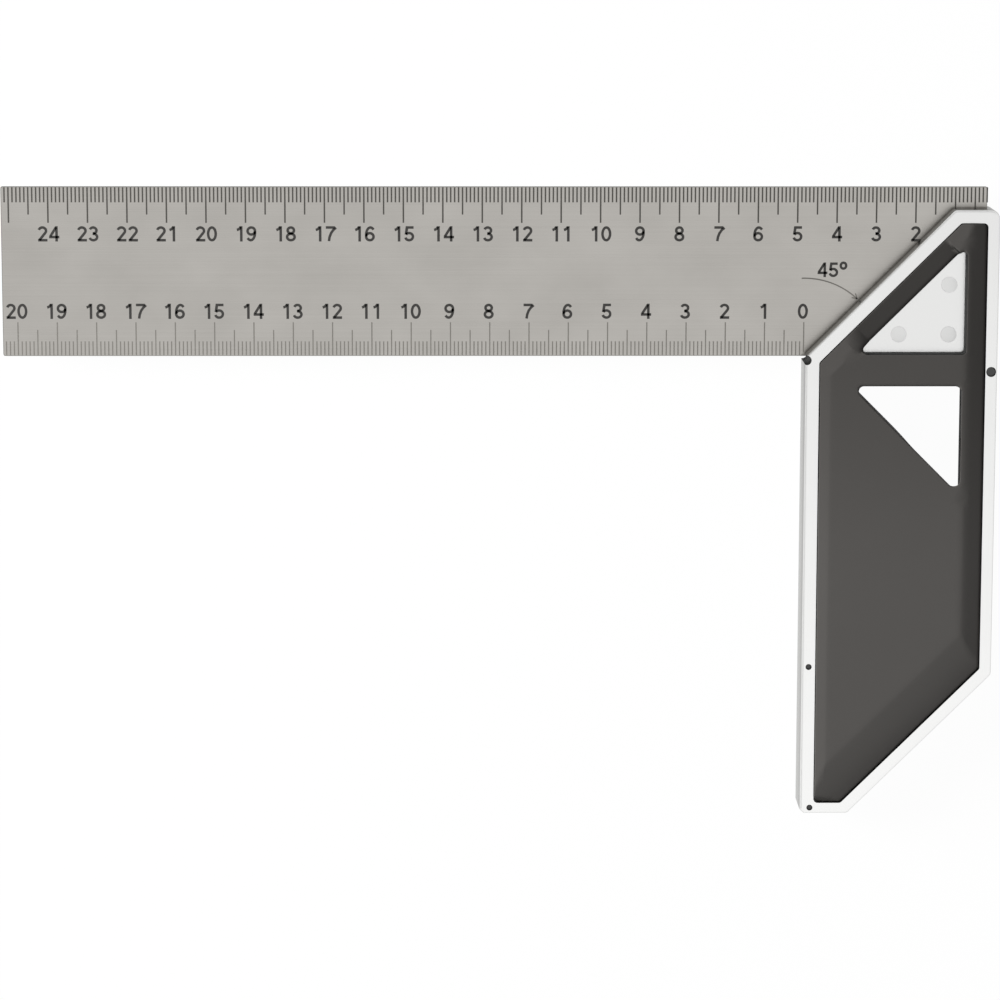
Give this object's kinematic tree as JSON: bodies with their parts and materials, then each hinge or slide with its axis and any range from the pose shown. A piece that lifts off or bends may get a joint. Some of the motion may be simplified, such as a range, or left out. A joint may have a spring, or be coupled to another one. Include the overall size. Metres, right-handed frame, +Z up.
{
  "type": "carpenter square",
  "caption": "Carpenter's try and mitre square: a flat graduated steel blade clamped at right angles in a cast stock with a 45 degree mitre face, triangular windows and moulded grip plates.",
  "frame": {"origin": "the inner corner, where the line of the blade's inner edge meets the plane of the stock's inner face, half way through the blade's thickness", "axes": "+X along the blade towards the stock's outer face, +Y across the blade towards its outer edge, +Z up from the face that the picture shows; the square lies flat"},
  "size_m": [0.2527, 0.1615, 0.0166],
  "materials": {
    "blade_steel": "satin stainless, fine grain",
    "frame_aluminium": "satin casting, machined edges",
    "grip_plastic": "fine moulded texture",
    "rivet_metal": "dull, flush",
    "pin_steel": "dark, plain end"
  },
  "bodies": {
    "root": {"blade": "blade_steel", "front_frame": "frame_aluminium", "rear_frame": "frame_aluminium", "front_grip": "grip_plastic", "rear_grip": "grip_plastic", "blade_rivet_1": "rivet_metal", "blade_rivet_2": "rivet_metal", "blade_rivet_3": "rivet_metal", "frame_pin_1": "pin_steel", "frame_pin_2": "pin_steel", "frame_pin_3": "pin_steel"}
  },
  "joints": []
}
